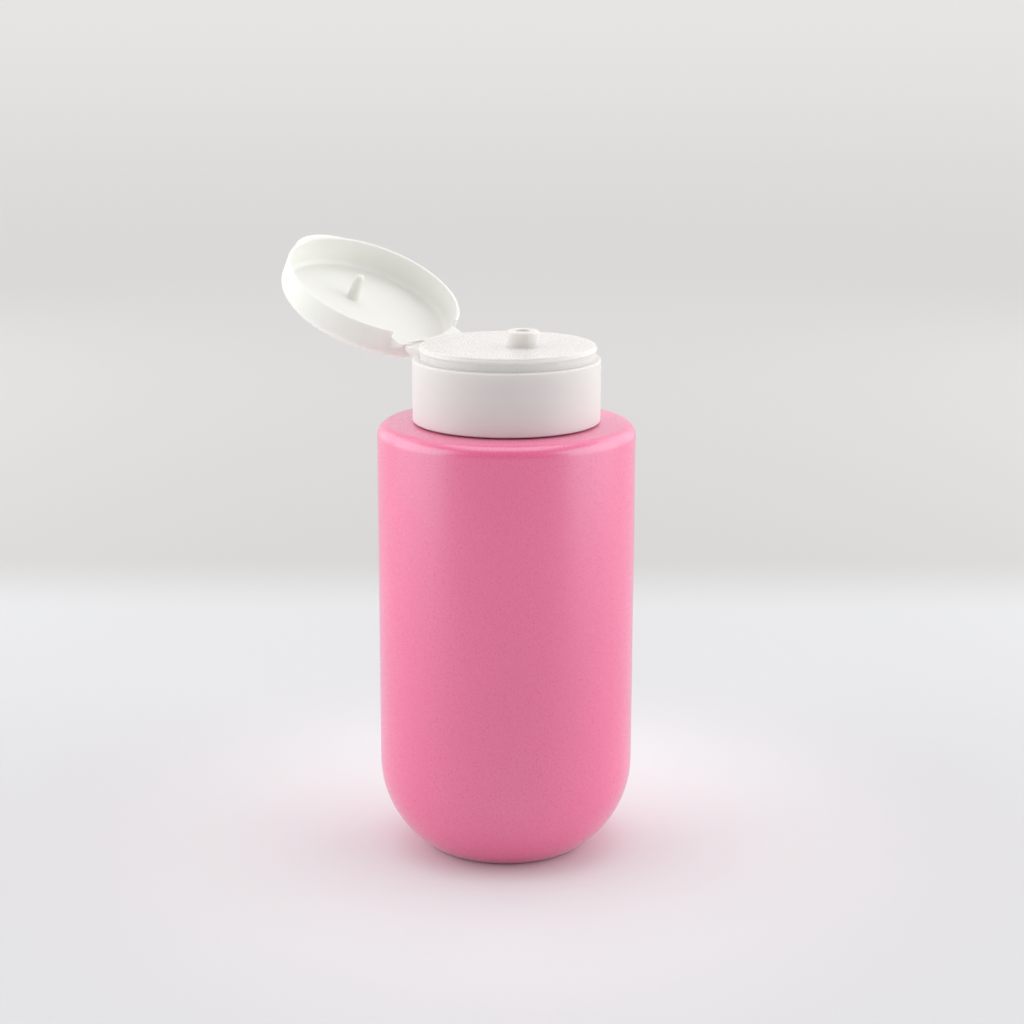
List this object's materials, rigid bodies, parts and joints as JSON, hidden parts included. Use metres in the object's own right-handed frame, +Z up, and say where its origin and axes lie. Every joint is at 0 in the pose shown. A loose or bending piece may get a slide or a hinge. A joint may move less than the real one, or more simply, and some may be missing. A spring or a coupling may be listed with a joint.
{
  "type": "cosmetic bottle",
  "caption": "Round straight-sided cosmetic bottle with a flat shoulder, a rounded base and a screw-on flip-top closure, its lid standing open over a small dispensing nozzle.",
  "frame": {"origin": "centre of the foot, on the bottle's axis, in the plane that the bottle stands on", "axes": "+Z up along the bottle's axis towards the nozzle, +Y towards the hinge, so the closure's plane of symmetry is YZ, and +X completes the right-handed set"},
  "size_m": [0.055, 0.0859, 0.1291],
  "materials": {
    "pink_body": "soft-touch matte",
    "white_closure": "satin moulded",
    "white_lid": "satin moulded",
    "liner_foam": "foamed, matte"
  },
  "bodies": {
    "bottle_body": {"bottle": "pink_body"},
    "liner_body": {"sealing_liner": "liner_foam"},
    "closure_body": {"closure": "white_closure"},
    "lid_body": {"lid": "white_lid"}
  },
  "joints": [
    {"name": "closure_rise", "type": "slide", "parent": "bottle_body", "child": "liner_body", "axis": [0, 0, 1], "range_m": [0, 0.0084]},
    {"name": "closure_turn", "type": "hinge", "parent": "liner_body", "child": "closure_body", "pos_m": [0, 0, 0.1], "axis": [0, 0, 1], "range_deg": [0, 720]},
    {"name": "lid_flip", "type": "hinge", "parent": "closure_body", "child": "lid_body", "pos_m": [0, 0.02058, 0.109], "axis": [-1, 0, 0], "range_deg": [-153, 27]}
  ],
  "couplings": [
    {"joint": "closure_rise", "follows": "closure_turn", "m_per_rad": 0.00066845}
  ]
}
